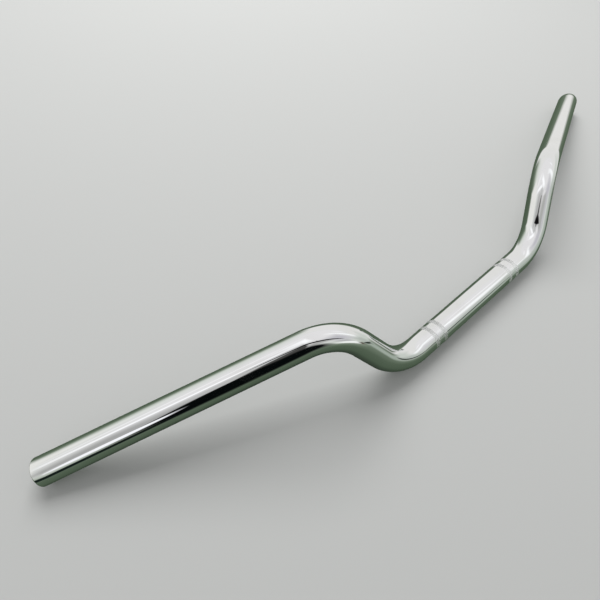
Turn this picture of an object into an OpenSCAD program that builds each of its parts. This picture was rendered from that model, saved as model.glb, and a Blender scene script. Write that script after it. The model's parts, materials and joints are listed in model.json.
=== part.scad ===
// Motorcycle handlebar: one length of bent steel tube with four knurled rings
// at its clamp section and a threaded insert welded into each end.
// The bar lies on a flat surface, on its clamp section and its two grip ends.
// +X runs along the clamp section, +Y towards the grip ends, +Z up, and the
// origin is the middle of the clamp section's axis.

/* [Tube] */
// Outside diameter of the tube, 7/8 inch
tube_d = 22.2; // [18:0.1:28.6]
// Wall thickness of the tube
tube_wall = 2; // [1.4:0.1:2.6]
// Radius of every bend, at the centre line of the tube
bend_r = 45; // [35:1:50]
// Amount that each surface of the wall draws in where the tube is bent
bend_draw = 0.05; // [0.03:0.01:0.1]
// Rounding of the outer edge at each end of the tube
end_round = 1; // [0.4:0.1:1.3]

/* [Shape in the clamps, measured between centre lines] */
// Width of the bar from the middle of one end to the middle of the other
width = 718; // [660:1:820]
// Distance between the two corners where the clamp section meets the risers
clamp_corners = 196; // [180:1:230]
// Distance between the two corners where the risers meet the grips
grip_corners = 282; // [270:1:320]
// Height of the grip corners above the clamp section
rise = 68; // [60:1:100]
// Distance that the grip ends lie behind the clamp section
pullback = 91; // [60:1:120]
// Distance that the grip ends lie below the grip corners
droop = 4; // [0:1:20]

/* [Knurled rings] */
// Distance from the middle of the bar to each inner ring
inner_ring_x = 48.5; // [30:0.5:50]
// Distance from the middle of the bar to each outer ring
outer_ring_x = 59; // [56:0.5:62]
// Width of one ring, without its sloping edges
ring_w = 4.4; // [3:0.1:5]
// Height of the rolled crests above the tube
ring_h = 0.2; // [0.1:0.05:0.5]

/* [End inserts] */
// Length of each insert
insert_len = 20; // [12:1:30]
// Depth of the insert's face inside the end of the tube
insert_depth = 2.5; // [1:0.5:6]
// Hole through the insert, tapped for an M8 screw
thread_hole_d = 6.8; // [5:0.1:8.5]
// Countersink at the mouth of the hole
countersink_d = 9; // [8.8:0.1:12]

/* [Hidden] */
$fn = 128;
// How far a cut runs past the faces that it opens
overrun = 1;
// How far a straight length laps into the bend next to it
bend_lap = 0.5;

tube_r = tube_d / 2;
bore_r = tube_r - tube_wall;

// The corners of the right half of the centre line, and its end
clamp_corner = [clamp_corners / 2, 0, 0];
grip_corner = [grip_corners / 2, 0, rise];
tip = [width / 2, pullback, rise - droop];

function unit(v) = v / norm(v);

// Directions of the three straight lengths, outwards from the middle
clamp_dir = [1, 0, 0];
riser_dir = unit(grip_corner - clamp_corner);
grip_dir = unit(tip - grip_corner);

// Angle of each bend, and how much of each straight a bend takes up
lower_bend = acos(clamp_dir * riser_dir);
upper_bend = acos(riser_dir * grip_dir);
lower_take_up = bend_r * tan(lower_bend / 2);
upper_take_up = bend_r * tan(upper_bend / 2);

clamp_half = clamp_corner.x - lower_take_up;
riser_len = norm(grip_corner - clamp_corner) - lower_take_up - upper_take_up;
grip_len = norm(tip - grip_corner) - upper_take_up;

// Turn about the riser that takes the lower bend's plane to the upper bend's
riser_side = [-sin(lower_bend), 0, cos(lower_bend)];
riser_twist = atan2(-grip_dir.y, grip_dir * riser_side);

// Tilt about the clamp section that lays both grip ends on the surface
lying_tilt = atan2(tip.z, tip.y);

// Straight length of tube along +Z, lapping into the bend at each end
module straight_tube(length) {
  difference() {
    translate([0, 0, -bend_lap])
      cylinder(r = tube_r, h = length + 2 * bend_lap);
    translate([0, 0, -bend_lap - overrun])
      cylinder(r = bore_r, h = length + 2 * (bend_lap + overrun));
  }
}

// Bent length of tube that starts at the origin along +Z and turns towards +X
module bent_tube(angle) {
  translate([bend_r, 0, 0])
    rotate([90, 0, 180])
      rotate_extrude(angle = angle)
        translate([bend_r, 0])
          difference() {
            circle(r = tube_r - bend_draw);
            circle(r = bore_r + bend_draw);
          }
}

// Straight length of tube along +Z, lapping into the bend below it, with the
// outer edge of its top rounded
module rounded_tube(length) {
  round_r = tube_r - end_round;
  round_z = length - end_round;
  rotate_extrude()
    polygon(concat(
      [[bore_r, length], [bore_r, -bend_lap], [tube_r, -bend_lap]],
      [for (a = [0:15:90]) [round_r + end_round * cos(a), round_z + end_round * sin(a)]]
    ));
}

// Outline of one knurled ring: a plain band with sloping edges
function ring_outline(x) = [
  [tube_r, x - ring_w / 2 - ring_h],
  [tube_r + ring_h, x - ring_w / 2],
  [tube_r + ring_h, x + ring_w / 2],
  [tube_r, x + ring_w / 2 + ring_h]
];

// Straight clamp section with its four knurled rings, lapping into both bends
module clamp_section() {
  rings = [-outer_ring_x, -inner_ring_x, inner_ring_x, outer_ring_x];
  end = clamp_half + bend_lap;
  rotate([0, 90, 0])
    rotate_extrude()
      polygon(concat(
        [[tube_r, -end]],
        [for (x = rings) each ring_outline(x)],
        [[tube_r, end], [bore_r, end], [bore_r, -end]]
      ));
}

// Places its children at the far end of a bend
module after_bend(angle) {
  translate([bend_r * (1 - cos(angle)), 0, bend_r * sin(angle)])
    rotate([0, angle, 0])
      children();
}

// Places its children where the right riser's lower bend starts, with their
// +Z outwards along the clamp section and their +X up the riser
module at_lower_bend() {
  rotate([180, -90, 0])
    translate([0, 0, clamp_half])
      children();
}

// Places its children where the right riser's upper bend starts, with their
// +Z up the riser and the bend towards their +X
module at_upper_bend() {
  at_lower_bend()
    after_bend(lower_bend)
      translate([0, 0, riser_len])
        rotate([0, 0, riser_twist])
          children();
}

// Places its children where the right grip's straight starts, with +Z outwards
module at_grip() {
  at_upper_bend()
    after_bend(upper_bend)
      children();
}

// Everything to the right of the clamp section
module right_half() {
  at_lower_bend() {
    bent_tube(lower_bend);
    after_bend(lower_bend)
      straight_tube(riser_len);
  }
  at_upper_bend()
    bent_tube(upper_bend);
  at_grip()
    rounded_tube(grip_len);
}

// Lays its children down from their place in the clamps onto the surface
module laid_down() {
  rotate([-lying_tilt, 0, 0])
    children();
}

module handlebar_tube() {
  color([0.86, 0.87, 0.88])
    laid_down() {
      clamp_section();
      right_half();
      mirror([1, 0, 0])
        right_half();
    }
}

// Threaded bush in the right end, from its inner face to its outer face
module end_insert() {
  countersink_h = (countersink_d - thread_hole_d) / 2;
  at_grip()
    translate([0, 0, grip_len - insert_depth - insert_len])
      difference() {
        cylinder(r = bore_r, h = insert_len);
        translate([0, 0, -overrun])
          cylinder(d = thread_hole_d, h = insert_len + 2 * overrun);
        translate([0, 0, insert_len - countersink_h])
          cylinder(d1 = thread_hole_d, d2 = countersink_d, h = countersink_h);
      }
}

module left_end_insert() {
  color([0.62, 0.62, 0.6])
    laid_down()
      mirror([1, 0, 0])
        end_insert();
}

module right_end_insert() {
  color([0.62, 0.62, 0.6])
    laid_down()
      end_insert();
}

handlebar_tube();
left_end_insert();
right_end_insert();
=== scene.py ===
import json
import math

import bmesh
import bpy
from mathutils import Matrix, Vector


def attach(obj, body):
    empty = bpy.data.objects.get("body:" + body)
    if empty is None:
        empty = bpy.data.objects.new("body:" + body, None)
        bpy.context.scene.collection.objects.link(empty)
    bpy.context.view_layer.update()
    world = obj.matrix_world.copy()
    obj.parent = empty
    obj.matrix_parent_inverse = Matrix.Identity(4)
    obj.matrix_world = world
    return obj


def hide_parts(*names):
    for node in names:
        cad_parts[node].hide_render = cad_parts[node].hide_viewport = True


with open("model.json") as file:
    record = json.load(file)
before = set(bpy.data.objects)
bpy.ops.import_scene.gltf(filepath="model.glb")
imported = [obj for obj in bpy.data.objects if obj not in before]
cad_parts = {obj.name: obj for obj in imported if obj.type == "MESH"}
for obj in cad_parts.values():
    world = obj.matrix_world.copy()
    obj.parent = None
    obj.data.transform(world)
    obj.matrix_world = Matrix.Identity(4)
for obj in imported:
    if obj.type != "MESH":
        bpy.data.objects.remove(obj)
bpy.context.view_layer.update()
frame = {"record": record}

# A chromed motorcycle handlebar, lying on its clamp section and its two grip
# ends. Lengths are metres. +X runs along the clamp section towards the right
# grip, +Y towards the grip ends and +Z up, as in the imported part.

MM = 0.001
FULL_TURN = 2 * math.pi
ALONG_CLAMP = Vector((1, 0, 0))
UP = Vector((0, 0, 1))

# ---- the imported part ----

mounts = {m["name"]: m for m in frame["record"]["mounts"]}
grip_mount = mounts["right_grip"]
clamp_mount = mounts["bar_clamp"]
thread_mount = mounts["right_end_thread"]

TUBE_R = grip_mount["dims"]["r_mm"] * MM
CLAMP_HALF = clamp_mount["dims"]["length_mm"] * MM / 2
GRIP_DIR = Vector(grip_mount["axis"]).normalized()
GRIP_MIDDLE = Vector(grip_mount["pos_m"])
GRIP_LEN = grip_mount["dims"]["length_mm"] * MM
THREAD_R = thread_mount["dims"]["r_mm"] * MM
INSERT_LEN = thread_mount["dims"]["length_mm"] * MM
INSERT_FACE = Vector(thread_mount["pos_m"])

# ---- dimensions that the record doesn't hold ----

WALL = 2.0 * MM
BORE_R = TUBE_R - WALL
BEND_R = 45 * MM
# What a bend does to the tube: its wall draws in and its section flattens. Both
# fade in over a length at each end of the bend.
BEND_DRAW = 0.05 * MM
BEND_FLATTEN = 0.14 * MM
BEND_EASE = 4 * TUBE_R / 3
# Edges at the end of the tube
END_ROUND = 1.0 * MM
MOUTH_CHAMFER = 0.4 * MM
# Knurled rings: places along the bar, half a ring's width, the part of that over
# which the pattern fades out, and its crests and grooves
RING_PLACES = [x * MM for x in (-59, -48.5, 48.5, 59)]
RING_HALF = 2.4 * MM
RING_FADE = 0.5 * MM
CREST_H = 0.16 * MM
GROOVE_D = 0.2 * MM
DIAMONDS_AROUND = 60
DIAMOND_PITCH = FULL_TURN * TUBE_R / DIAMONDS_AROUND
# Thread M8. Its flank runs between two heights of the triangle wave that shapes it.
THREAD_PITCH = 1.25 * MM
THREAD_DEPTH = 0.55 * MM
FLANK_START = 0.12
FLANK_END = 0.9
# The insert's edges, and its clearance in the tube
COUNTERSINK_R = 4.5 * MM
INSERT_CHAMFER = 0.5 * MM
INSERT_GAP = 0.02 * MM

# ---- fineness of the meshes ----

POINTS_PER_DIAMOND = 4
AROUND = POINTS_PER_DIAMOND * DIAMONDS_AROUND
KNURL_STEP = DIAMOND_PITCH / POINTS_PER_DIAMOND
BEND_STEP = 1.5 * MM
STRAIGHT_STEP = 8 * MM
# Steps across the rounding of an end, round an insert, and in a pitch of thread
ROUND_STEPS = 6
INSERT_AROUND = 64
THREAD_STEPS = 8
# Rounds in which the corners of the centre line settle
SETTLING_ROUNDS = 60
# Angle in degrees past which two faces meet in a sharp edge
SHARP_ANGLE = 40


# ---- centre line ----

def smooth(x, low, high):
    """Smooth step from 0 at low to 1 at high."""
    t = min(max((x - low) / (high - low), 0), 1)
    return t * t * (3 - 2 * t)


def take_up(before, after):
    """How much of each straight length the bend between two directions takes up."""
    return BEND_R * math.tan(before.angle(after) / 2)


def bend_corners():
    """The two corners of the right half's centre line. The riser between them is
    tangent to both bends, so they're found by repeating until they settle."""
    clamp_end = ALONG_CLAMP * CLAMP_HALF
    grip_start = GRIP_MIDDLE - GRIP_DIR * GRIP_LEN / 2
    lower, upper = clamp_end, grip_start
    for _ in range(SETTLING_ROUNDS):
        riser = (upper - lower).normalized()
        lower = clamp_end + ALONG_CLAMP * take_up(ALONG_CLAMP, riser)
        upper = grip_start - GRIP_DIR * take_up(riser, GRIP_DIR)
    return lower, upper


class Station:
    """A place on the centre line: its distance from the middle of the bar, its
    point and direction, and the inner side and the share of the bend it's in."""

    def __init__(self, s, point, tangent, inside=None, bent=0.0):
        self.s = s
        self.point = point
        self.tangent = tangent
        self.inside = inside or Vector((0, 0, 0))
        self.bent = bent


def spread(length, step):
    """Even places along a length, a step or less apart, without its far end."""
    count = max(2, math.ceil(length / step))
    return [length * i / count for i in range(count)]


def straight(s, start, along, offsets):
    """Stations on a straight length, at offsets from its start."""
    return [Station(s + d, start + along * d, along) for d in offsets]


def arc(s, start, before, after):
    """Stations round a bend that turns direction before into direction after,
    with the distance and the point at its end."""
    angle = before.angle(after)
    inward = (after - before * before.dot(after)).normalized()
    length = BEND_R * angle
    stations = []
    for d in spread(length, BEND_STEP):
        a = d / BEND_R
        point = start + BEND_R * (math.sin(a) * before + (1 - math.cos(a)) * inward)
        tangent = math.cos(a) * before + math.sin(a) * inward
        inside = math.cos(a) * inward - math.sin(a) * before
        bent = min(smooth(d, 0, BEND_EASE), smooth(length - d, 0, BEND_EASE))
        stations.append(Station(s + d, point, tangent.normalized(), inside, bent))
    end = start + BEND_R * (math.sin(angle) * before + (1 - math.cos(angle)) * inward)
    return stations, s + length, end


def clamp_offsets():
    """Places along the right half of the clamp section, fine across the rings."""
    rings = [x for x in RING_PLACES if x > 0]
    places = spread(min(rings) - RING_HALF, STRAIGHT_STEP)
    steps = math.floor(RING_HALF / KNURL_STEP)
    for x in rings:
        places += [x - RING_HALF, x + RING_HALF]
        places += [x + i * KNURL_STEP for i in range(-steps, steps + 1)]
    return sorted(places)


def right_half():
    """Stations from the middle of the bar to the rounding of its right end."""
    lower, upper = bend_corners()
    riser = (upper - lower).normalized()
    stations = straight(0, Vector((0, 0, 0)), ALONG_CLAMP, clamp_offsets())
    bend, s, at = arc(CLAMP_HALF, ALONG_CLAMP * CLAMP_HALF, ALONG_CLAMP, riser)
    stations += bend
    upper_start = upper - riser * take_up(riser, GRIP_DIR)
    length = (upper_start - at).length
    stations += straight(s, at, riser, spread(length, STRAIGHT_STEP))
    bend, s, at = arc(s + length, upper_start, riser, GRIP_DIR)
    stations += bend
    stations += straight(s, at, GRIP_DIR, spread(GRIP_LEN, STRAIGHT_STEP) + [GRIP_LEN])
    return stations


def flipped(v):
    return Vector((-v.x, v.y, v.z))


def mirrored(stations):
    """The left half: the right half's stations mirrored in x, in reverse."""
    left = []
    for right in reversed(stations[1:]):
        tangent = -flipped(right.tangent)
        inside = flipped(right.inside)
        left.append(Station(-right.s, flipped(right.point), tangent, inside, right.bent))
    return left


def end_profile():
    """Loops that close an end of the tube: the rounding, the face and the mouth.
    Each is a distance past the last station and a radius."""
    rounding = []
    for i in range(1, ROUND_STEPS + 1):
        a = math.pi / 2 * i / ROUND_STEPS
        rounding.append((END_ROUND * math.sin(a), TUBE_R - END_ROUND * (1 - math.cos(a))))
    face = (END_ROUND, BORE_R + MOUTH_CHAMFER)
    mouth = (END_ROUND - MOUTH_CHAMFER, BORE_R)
    return rounding + [face, mouth]


# ---- surfaces: each is a radius by outward direction and share of a turn ----

def triangle(x):
    """Triangle wave between 0 and 1 with period 1."""
    return abs(2 * (x - math.floor(x)) - 1)


def ring_at(s):
    """The place of the knurled ring that s lies in, or None."""
    for x in RING_PLACES:
        if abs(s - x) < RING_HALF:
            return x
    return None


def knurl(s, turn):
    """Height of the knurling at a distance along the bar and a share of a turn.
    It's the diamond pattern that two crossing sets of grooves leave."""
    place = ring_at(s)
    if place is None:
        return 0.0
    along = (s - place) / DIAMOND_PITCH
    around = turn * DIAMONDS_AROUND
    crest = min(triangle(around + along), triangle(around - along))
    fade = 1 - smooth(abs(s - place), RING_HALF - RING_FADE, RING_HALF)
    return fade * (crest * (CREST_H + GROOVE_D) - GROOVE_D)


def outside(station):
    """The outside of the tube, with its knurling and what the bends do to it."""
    def radius(outward, turn):
        across = station.inside.dot(outward)
        flat = BEND_FLATTEN * station.bent * across * across
        return TUBE_R - BEND_DRAW * station.bent - flat + knurl(station.s, turn)
    return radius


def threaded(z):
    """The tapped hole at a depth: a helical groove with flat crests."""
    def radius(_, turn):
        phase = triangle(z / THREAD_PITCH - turn)
        return THREAD_R + THREAD_DEPTH * smooth(phase, FLANK_START, FLANK_END)
    return radius


def plain(radius):
    """A surface with the same radius all round."""
    return lambda outward, turn: radius


# ---- meshes ----

def new_object(name, data):
    """An object in the scene that holds a mesh, light or camera."""
    obj = bpy.data.objects.new(name, data)
    bpy.context.scene.collection.objects.link(obj)
    return obj


def mesh_object(name, points, faces, slots, materials, tube_space):
    """A piece. Faces in the first material's slot are smooth, the others flat, and
    the materials find each point's tube_space in an attribute."""
    mesh = bpy.data.meshes.new(name)
    mesh.from_pydata(points, [], faces)
    for material in materials:
        mesh.materials.append(material)
    mesh.polygons.foreach_set("material_index", slots)
    mesh.polygons.foreach_set("use_smooth", [slot == 0 for slot in slots])
    attribute = mesh.attributes.new("tube_space", "FLOAT_VECTOR", "POINT")
    attribute.data.foreach_set("vector", [c for v in tube_space for c in v])
    mesh.update()
    mesh.set_sharp_from_angle(angle=math.radians(SHARP_ANGLE))
    return new_object(name, mesh)


def side_of(stations):
    """A side vector for each station, carried along the centre line unturned."""
    middle = min(range(len(stations)), key=lambda i: abs(stations[i].s))
    sides = [None] * len(stations)
    sides[middle] = UP.copy()
    for order in (range(middle + 1, len(stations)), range(middle - 1, -1, -1)):
        side = sides[middle]
        for i in order:
            tangent = stations[i].tangent
            side = (side - tangent * side.dot(tangent)).normalized()
            sides[i] = side
    return sides


def ring_points(centre, tangent, side, count, surface):
    """One ring of a surface's points round a centre."""
    other = tangent.cross(side)
    points = []
    for j in range(count):
        turn = j / count
        outward = math.cos(FULL_TURN * turn) * side + math.sin(FULL_TURN * turn) * other
        points.append(centre + outward * surface(outward, turn))
    return points


def tube_places(s, radius, count):
    """The tube_space of the points round a ring: the tube as if it were straight."""
    angles = [FULL_TURN * j / count for j in range(count)]
    return [(s, radius * math.cos(a), radius * math.sin(a)) for a in angles]


def bridge(faces, slots, first, second, count, slot):
    """Quads between two rings of count points that start at first and second."""
    for j in range(count):
        k = (j + 1) % count
        faces.append((first + j, first + k, second + k, second + j))
        slots.append(slot)


def tube_mesh(materials):
    """The whole tube as one closed mesh: outside, right mouth, bore, left mouth.
    A loop is a station, its side, how far past it the loop lies, and a surface. The
    bore has no knurling and takes every second station."""
    half = right_half()
    stations = mirrored(half) + half
    pairs = list(zip(stations, side_of(stations)))
    loops = [(station, side, 0.0, outside(station)) for station, side in pairs]
    loops += [(*pairs[-1], past, plain(r)) for past, r in end_profile()]
    inner = [pair for pair in pairs[1:-1] if ring_at(pair[0].s) is None][::2]
    loops += [(*pair, 0.0, plain(BORE_R)) for pair in reversed(inner)]
    loops += [(*pairs[0], -past, plain(r)) for past, r in reversed(end_profile())]
    points, space = [], []
    for station, side, past, surface in loops:
        centre = station.point + station.tangent * past
        points += ring_points(centre, station.tangent, side, AROUND, surface)
        space += tube_places(station.s + past, TUBE_R, AROUND)
    faces, slots = [], []
    for i, (station, *_) in enumerate(loops):
        after = (i + 1) % len(loops)
        cut = ring_at(station.s) is not None and ring_at(loops[after][0].s) is not None
        bridge(faces, slots, i * AROUND, after * AROUND, AROUND, int(cut))
    return mesh_object("tube", points, faces, slots, materials, space)


def insert_profile():
    """Distances past the insert's face and surfaces, round the body and then back
    through the tapped hole."""
    body_r = BORE_R - INSERT_GAP
    sink = COUNTERSINK_R - THREAD_R
    thread_len = INSERT_LEN - 2 * sink
    rows = round(thread_len / THREAD_PITCH * THREAD_STEPS)
    body = [
        (-INSERT_LEN, COUNTERSINK_R),
        (-INSERT_LEN, body_r - INSERT_CHAMFER),
        (-INSERT_LEN + INSERT_CHAMFER, body_r),
        (-INSERT_CHAMFER, body_r),
        (0, body_r - INSERT_CHAMFER),
        (0, COUNTERSINK_R),
    ]
    hole = [-sink - thread_len * i / rows for i in range(rows + 1)]
    return [(z, plain(r)) for z, r in body] + [(z, threaded(z)) for z in hole]


def insert_mesh(name, mirror, material):
    """A threaded bush, from its face inside the mouth of the tube inwards."""
    side = (UP - GRIP_DIR * UP.dot(GRIP_DIR)).normalized()
    profile = insert_profile()
    points, space, faces, slots = [], [], [], []
    for i, (z, surface) in enumerate(profile):
        points += ring_points(INSERT_FACE + GRIP_DIR * z, GRIP_DIR, side, INSERT_AROUND, surface)
        space += tube_places(z, surface(None, 0), INSERT_AROUND)
        after = (i + 1) % len(profile)
        bridge(faces, slots, i * INSERT_AROUND, after * INSERT_AROUND, INSERT_AROUND, 0)
    if mirror:
        points = [flipped(p) for p in points]
        faces = [tuple(reversed(f)) for f in faces]
    return mesh_object(name, points, faces, slots, [material], space)


# ---- materials ----

CHROME_COLOUR = (0.83, 0.84, 0.855, 1)
SMUDGE_COLOUR = (0.79, 0.8, 0.805, 1)
DUST_COLOUR = (0.6, 0.59, 0.56, 1)
DUST_ROUGHNESS = 0.25
# Marks on the chrome: noise scale per metre, detail, factors on tube_space that
# draw the mark out along the tube, and the noise levels between which it fades in
CHROME_MARKS = {
    "smudges": (38, 4, None, (0.5, 0.72)),
    "wiping": (900, 2, (0.03, 1, 1), (0.52, 0.78)),
    "dust": (2600, 1, None, (0.76, 0.8)),
}
# The chrome's waviness and its polishing lines: noise as above, then the strength
# and the height of the bump
CHROME_BUMPS = (
    (45, 1, (0.5, 1, 1), 0.12, 0.6 * MM),
    (1400, 2, (0.02, 1, 1), 0.05, 0.04 * MM),
)

# Patches in the zinc: the two colours and roughnesses that they run between, noise
# scale per metre, detail, and the noise levels for the two roughnesses
STEEL_COLOURS = (0.5, 0.5, 0.48, 1), (0.68, 0.67, 0.62, 1)
STEEL_ROUGHNESS = (0.28, 0.42)
PATCH_SCALE = 300
PATCH_DETAIL = 3
PATCH_LEVELS = (0.3, 0.7)
# The lathe's rings: radians of their wave per metre, then strength and height
LATHE_WAVE = 42000.0
LATHE_BUMP = (0.2, 0.02 * MM)


class Nodes:
    """Short helpers for building a material's nodes."""

    def __init__(self, tree):
        self.tree = tree

    def add(self, kind, **values):
        node = self.tree.nodes.new(kind)
        for key, value in values.items():
            setattr(node, key, value)
        return node

    def link(self, out, into):
        self.tree.links.new(out, into)

    def feed(self, value, socket):
        """Gives a socket a fixed value or another node's result."""
        if isinstance(value, (int, float, tuple)):
            socket.default_value = value
        else:
            self.link(value, socket)

    def noise(self, vector, scale, detail, stretch=None):
        if stretch:
            mapping = self.add("ShaderNodeMapping")
            mapping.inputs["Scale"].default_value = stretch
            self.link(vector, mapping.inputs["Vector"])
            vector = mapping.outputs["Vector"]
        node = self.add("ShaderNodeTexNoise")
        node.inputs["Scale"].default_value = scale
        node.inputs["Detail"].default_value = detail
        self.link(vector, node.inputs["Vector"])
        return node.outputs["Fac"]

    def remap(self, value, low, high, to_low=0.0, to_high=1.0):
        node = self.add("ShaderNodeMapRange")
        node.inputs["From Min"].default_value = low
        node.inputs["From Max"].default_value = high
        node.inputs["To Min"].default_value = to_low
        node.inputs["To Max"].default_value = to_high
        self.link(value, node.inputs["Value"])
        return node.outputs["Result"]

    def math(self, operation, a, b=0.0):
        node = self.add("ShaderNodeMath", operation=operation)
        self.feed(a, node.inputs[0])
        self.feed(b, node.inputs[1])
        return node.outputs[0]

    def dot(self, vector, axis):
        node = self.add("ShaderNodeVectorMath", operation="DOT_PRODUCT")
        self.link(vector, node.inputs[0])
        node.inputs[1].default_value = axis
        return node.outputs["Value"]

    def mix(self, factor, a, b):
        """Mixes two colours, whose sockets follow those of the node's other types."""
        node = self.add("ShaderNodeMix", data_type="RGBA")
        self.feed(factor, node.inputs[0])
        self.feed(a, node.inputs[6])
        self.feed(b, node.inputs[7])
        return node.outputs[2]

    def bump(self, height, strength, distance, normal=None):
        node = self.add("ShaderNodeBump")
        node.inputs["Strength"].default_value = strength
        node.inputs["Distance"].default_value = distance
        self.link(height, node.inputs["Height"])
        if normal is not None:
            self.link(normal, node.inputs["Normal"])
        return node.outputs["Normal"]


def new_material(name):
    material = bpy.data.materials.new(name)
    material.use_nodes = True
    return material, Nodes(material.node_tree)


def metal(name):
    """A metal with its nodes, its shader and the place on the tube."""
    material, nodes = new_material(name)
    shader = material.node_tree.nodes["Principled BSDF"]
    shader.inputs["Metallic"].default_value = 1.0
    space = nodes.add("ShaderNodeAttribute", attribute_name="tube_space").outputs["Vector"]
    return material, nodes, shader, space


def chrome(name, roughness, smudge):
    """Bright chrome plate: faint wiping marks along the tube, thin smudges and
    specks of dust, and a slow waviness from the bending and polishing."""
    material, nodes, shader, space = metal(name)
    marks = {}
    for mark, (scale, detail, stretch, levels) in CHROME_MARKS.items():
        marks[mark] = nodes.remap(nodes.noise(space, scale, detail, stretch), *levels)
    rough = roughness
    for mark, extra in (("smudges", smudge), ("wiping", smudge / 2), ("dust", DUST_ROUGHNESS)):
        rough = nodes.math("ADD", rough, nodes.math("MULTIPLY", marks[mark], extra))
    nodes.link(rough, shader.inputs["Roughness"])
    tint = nodes.mix(marks["smudges"], CHROME_COLOUR, SMUDGE_COLOUR)
    tint = nodes.mix(marks["dust"], tint, DUST_COLOUR)
    nodes.link(tint, shader.inputs["Base Color"])
    normal = None
    for scale, detail, stretch, strength, height in CHROME_BUMPS:
        noise = nodes.noise(space, scale, detail, stretch)
        normal = nodes.bump(noise, strength, height, normal)
    nodes.link(normal, shader.inputs["Normal"])
    return material


def turned_steel(name):
    """Zinc plated steel with the fine rings that a lathe leaves."""
    material, nodes, shader, space = metal(name)
    patches = nodes.noise(space, PATCH_SCALE, PATCH_DETAIL)
    nodes.link(nodes.mix(patches, *STEEL_COLOURS), shader.inputs["Base Color"])
    rough = nodes.remap(patches, *PATCH_LEVELS, *STEEL_ROUGHNESS)
    nodes.link(rough, shader.inputs["Roughness"])
    apart = nodes.add("ShaderNodeSeparateXYZ")
    nodes.link(space, apart.inputs[0])
    squares = [nodes.math("POWER", apart.outputs[axis], 2.0) for axis in ("Y", "Z")]
    from_axis = nodes.math("SQRT", nodes.math("ADD", *squares))
    rings = nodes.math("SINE", nodes.math("MULTIPLY", from_axis, LATHE_WAVE))
    nodes.link(nodes.bump(rings, *LATHE_BUMP), shader.inputs["Normal"])
    return material


# ---- studio ----

FLOOR_COLOUR = (0.55, 0.555, 0.545)
FLOOR_ROUGHNESS = 0.9
FLOOR_REACH = 6.0
ROOM_COLOUR = (0.81, 0.82, 0.82)
ROOM_LIGHT = 0.55

# The key light's power in watts, size, azimuth, elevation and distance
KEY_POWER = 26
KEY_SIZE = 1.2
KEY_AZIMUTH, KEY_ELEVATION = 25, 52
KEY_DISTANCE = 1.8

# The photograph's viewpoint: a wide lens above and in front of the left grip
CAMERA_PLACE = Vector((-0.27305, -0.06182, 0.34129))
CAMERA_AZIMUTH, CAMERA_ELEVATION, CAMERA_ROLL = 43.278, -56.522, 2.66
CAMERA_LENS = 26.84
CAMERA_SENSOR = 36

# The light tent: its size and fineness, and its own glow at elevations in degrees
TENT_RADIUS = 3.0
TENT_SUBDIVISIONS = 5
TENT_HEIGHTS = (
    (-90, (0.04, 0.056, 0.038)),
    (-45, (0.08, 0.114, 0.074)),
    (-16, (0.1, 0.137, 0.092)),
    (-5, (0.155, 0.2, 0.143)),
    (3, (0.26, 0.31, 0.24)),
    (14, (0.59, 0.63, 0.56)),
    (22, (0.755, 0.785, 0.73)),
    (50, (0.89, 0.875, 0.87)),
)
# Brighter and darker patches of the tent: azimuth, elevation, width, height,
# softness, turn clockwise as the bar sees it, light
TENT_PATCHES = (
    (68, 21, 90, 47, 0.1, 0, (0.87, 0.86, 0.83)),
    (-55, 14, 56, 36, 0.2, 0, (0.93, 0.92, 0.88)),
    (-112, 58, 26, 22, 0.6, 0, (0.6, 0.6, 0.59)),
    (-110, 36, 38, 26, 0.6, 0, (0.44, 0.44, 0.43)),
    (-170, 43, 40, 16, 0.5, 0, (0.48, 0.48, 0.46)),
    (-72, 55, 8, 38, 0.5, -23, (1.14, 1.14, 1.14)),
    (-36, 49, 6, 30, 0.5, 37, (1.02, 1.01, 1.0)),
    (-85, 78, 30, 10, 0.5, 0, (1.18, 1.18, 1.18)),
    (116, 12, 34, 20, 0.6, 0, (0.66, 0.7, 0.64)),
    (123, 48, 8, 40, 0.5, -14, (1.12, 1.13, 1.12)),
    (96, 51, 3, 16, 0.5, -52, (1.04, 1.03, 1.03)),
    (157, 44, 26, 30, 0.6, 0, (0.6, 0.59, 0.62)),
    (137, 14, 18, 20, 0.6, 0, (0.52, 0.56, 0.51)),
    (135, -4, 18, 12, 0.5, 0, (0.4, 0.46, 0.39)),
    (170, 22, 18, 12, 0.5, 0, (0.55, 0.55, 0.55)),
    (171, 11, 24, 10, 0.4, 0, (1.06, 1.07, 1.04)),
    (157, 7, 8, 6, 0.5, 0, (0.1, 0.08, 0.06)),
)

# Cards round the photograph's viewpoint. Each has its place across, away from and
# above it, the azimuth of its width, half sizes, slope, softness and light. ACROSS
# and AWAY are the azimuths of the first two.
ACROSS = -47
AWAY = -137
CARDS = {
    "low_board": ((-0.1, 0.3, -0.151), ACROSS, (0.33, 0.31), 0, 0.35, (0.002, 0.003, 0.003)),
    "middle_board": ((0.06, 0.306, -0.041), ACROSS, (0.135, 0.24), 0, 0.25, (0.002, 0.003, 0.003)),
    "tall_board": ((-0.03, 0.312, 0.22), ACROSS, (0.14, 0.32), 0, 0.4, (0.065, 0.064, 0.06)),
    # Painted shade: this near-black strip at the floor's level puts the shaded ground into the
    # metal's reflections
    "painted_shade_strip": ((0.2, 0.318, -0.341), ACROSS, (0.34, 0.075), 0, 0.4, (0.006, 0.012, 0.01)),
    "pale_card": ((0.2, 0.29, -0.151), ACROSS, (0.13, 0.075), 0, 0.3, (1.12, 1.12, 1.15)),
    "camera_card": ((-0.16, 0.01, -0.012), ACROSS, (0.28, 0.05), 0.09, 0.15, (0.006, 0.006, 0.006)),
    "camera_spot": ((-0.135, 0.01, 0.075), ACROSS, (0.01, 0.035), 0, 0.4, (0.24, 0.22, 0.2)),
    "slanted_card": ((-0.712, -0.092, -0.25), 55, (0.12, 0.045), -1.02, 0.5, (0.03, 0.04, 0.03)),
}


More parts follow.
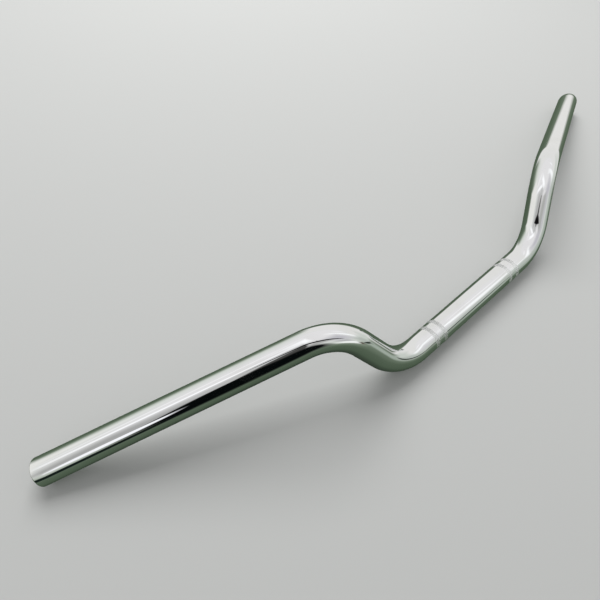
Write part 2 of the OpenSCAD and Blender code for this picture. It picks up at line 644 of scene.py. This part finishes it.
def direction(azimuth, elevation):
    """A direction from the bar: azimuth 0 is +Y and 90 is +X."""
    a, e = math.radians(azimuth), math.radians(elevation)
    return Vector((math.sin(a) * math.cos(e), math.cos(a) * math.cos(e), math.sin(e)))


def square(name, centre, across, above):
    """A flat square from its middle and its two half sides."""
    mesh = bpy.data.meshes.new(name)
    mesh.from_pydata([(-1, -1, 0), (1, -1, 0), (1, 1, 0), (-1, 1, 0)], [], [(0, 1, 2, 3)])
    obj = new_object(name, mesh)
    facing = across.cross(above).normalized()
    obj.matrix_world = Matrix((across, above, facing, centre)).to_4x4().transposed()
    return obj


def floor():
    """A plain pale floor that the bar lies on. The metal reflects the tent's
    darker ground instead."""
    across, above = Vector((FLOOR_REACH, 0, 0)), Vector((0, FLOOR_REACH, 0))
    obj = square("floor", Vector((0, 0, -TUBE_R)), across, above)
    material, _ = new_material("floor")
    shader = material.node_tree.nodes["Principled BSDF"]
    shader.inputs["Base Color"].default_value = (*FLOOR_COLOUR, 1)
    shader.inputs["Roughness"].default_value = FLOOR_ROUGHNESS
    obj.data.materials.append(material)
    obj.visible_glossy = False


def glowing(name):
    """A material that only glows, with its nodes, its emission shader and the
    socket of its surface."""
    material, nodes = new_material(name)
    tree = material.node_tree
    tree.nodes.remove(tree.nodes["Principled BSDF"])
    emission = nodes.add("ShaderNodeEmission")
    surface = tree.nodes["Material Output"].inputs["Surface"]
    nodes.link(emission.outputs[0], surface)
    return material, nodes, emission, surface


def seen_by_metal_only(obj):
    obj.visible_camera = False
    obj.visible_diffuse = False
    obj.visible_shadow = False


def patch_mask(nodes, view, azimuth, elevation, width, height, soft, turn):
    """Where a direction looks at a rectangular patch of the tent, sizes in degrees."""
    forward = direction(azimuth, elevation)
    spin = Matrix.Rotation(math.radians(turn), 3, forward)
    right = spin @ forward.cross(UP).normalized()
    above = right.cross(forward)
    shares = []
    for axis, size in ((right, width), (above, height)):
        edge = math.sin(math.radians(size / 2))
        shares.append(nodes.math("DIVIDE", nodes.math("ABSOLUTE", nodes.dot(view, axis)), edge))
    inside = nodes.remap(nodes.math("MAXIMUM", *shares), 1 - soft, 1 + soft, 1.0, 0.0)
    in_front = nodes.math("GREATER_THAN", nodes.dot(view, forward), 0.0)
    return nodes.math("MULTIPLY", inside, in_front)


def tent_colour(nodes, view):
    """The tent's colour in each direction: a ramp by height, then the patches."""
    ramp = nodes.add("ShaderNodeValToRGB")
    stops = ramp.color_ramp.elements
    while len(stops) < len(TENT_HEIGHTS):
        stops.new(0.5)
    for stop, (elevation, light) in zip(stops, TENT_HEIGHTS):
        stop.position = (1 + math.sin(math.radians(elevation))) / 2
        stop.color = (*light, 1)
    nodes.link(nodes.remap(nodes.dot(view, UP), -1, 1), ramp.inputs["Fac"])
    colour = ramp.outputs["Color"]
    for *shape, light in TENT_PATCHES:
        colour = nodes.mix(patch_mask(nodes, view, *shape), colour, (*light, 1))
    return colour


def tent():
    """A light tent round the bar, which only the metal sees: pale walls with
    brighter and darker patches, over dark green ground."""
    mesh = bpy.data.meshes.new("tent")
    obj = new_object("tent", mesh)
    shape = bmesh.new()
    bmesh.ops.create_icosphere(shape, subdivisions=TENT_SUBDIVISIONS, radius=TENT_RADIUS)
    shape.to_mesh(mesh)
    shape.free()
    material, nodes, emission, _ = glowing("tent")
    unit = nodes.add("ShaderNodeVectorMath", operation="NORMALIZE")
    nodes.link(nodes.add("ShaderNodeTexCoord").outputs["Object"], unit.inputs[0])
    nodes.link(tent_colour(nodes, unit.outputs["Vector"]), emission.inputs["Color"])
    mesh.materials.append(material)
    seen_by_metal_only(obj)


def card(name, place, azimuth, half_sizes, slope, soft, light):
    """An oval card with a soft edge, which only the metal sees."""
    across, away, above = place
    centre = CAMERA_PLACE + direction(ACROSS, 0) * across + direction(AWAY, 0) * away + UP * above
    half_width, half_height = half_sizes
    half_across = (direction(azimuth, 0) + UP * slope) * half_width
    obj = square(name, centre, half_across, UP * half_height)
    material, nodes, emission, surface = glowing(name)
    emission.inputs["Color"].default_value = (*light, 1)
    length = nodes.add("ShaderNodeVectorMath", operation="LENGTH")
    nodes.link(nodes.add("ShaderNodeTexCoord").outputs["Object"], length.inputs[0])
    inside = nodes.remap(length.outputs["Value"], 1 - soft, 1, 1.0, 0.0)
    fade = nodes.add("ShaderNodeMixShader")
    nodes.link(inside, fade.inputs[0])
    nodes.link(nodes.add("ShaderNodeBsdfTransparent").outputs[0], fade.inputs[1])
    nodes.link(emission.outputs[0], fade.inputs[2])
    nodes.link(fade.outputs[0], surface)
    obj.data.materials.append(material)
    seen_by_metal_only(obj)


def room_light():
    """The even light of the room, which is also the background."""
    world = bpy.data.worlds.new("room")
    bpy.context.scene.world = world
    world.use_nodes = True
    shader = world.node_tree.nodes["Background"]
    shader.inputs["Color"].default_value = (*ROOM_COLOUR, 1)
    shader.inputs["Strength"].default_value = ROOM_LIGHT


def key_light():
    """One large soft light from behind the right grip."""
    data = bpy.data.lights.new("key", "AREA")
    data.energy = KEY_POWER
    data.size = KEY_SIZE
    obj = new_object("key", data)
    obj.location = direction(KEY_AZIMUTH, KEY_ELEVATION) * KEY_DISTANCE
    obj.rotation_euler = obj.location.to_track_quat("Z", "Y").to_euler()
    obj.visible_glossy = False


def camera():
    """The camera at the photograph's viewpoint."""
    data = bpy.data.cameras.new("camera")
    data.sensor_width = CAMERA_SENSOR
    data.lens = CAMERA_LENS
    obj = new_object("camera", data)
    look = direction(CAMERA_AZIMUTH, CAMERA_ELEVATION)
    obj.matrix_world = (
        Matrix.Translation(CAMERA_PLACE)
        @ look.to_track_quat("-Z", "Y").to_matrix().to_4x4()
        @ Matrix.Rotation(math.radians(CAMERA_ROLL), 4, "Z")
    )
    bpy.context.scene.camera = obj


# ---- the pieces ----

bright = chrome("bright_chrome", roughness=0.025, smudge=0.05)
knurled = chrome("knurled_chrome", roughness=0.2, smudge=0.08)
tube = tube_mesh([bright, knurled])
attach(tube, "root")
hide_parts("handlebar_tube")

steel = turned_steel("turned_steel")
INSERTS = (("left_insert", "left_end_insert", True), ("right_insert", "right_end_insert", False))
for name, node, mirror in INSERTS:
    insert = insert_mesh(name, mirror, steel)
    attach(insert, "root")
    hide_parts(node)

floor()
tent()
for name, form in CARDS.items():
    card(name, *form)
room_light()
key_light()
camera()
bpy.context.scene.view_settings.view_transform = "Standard"
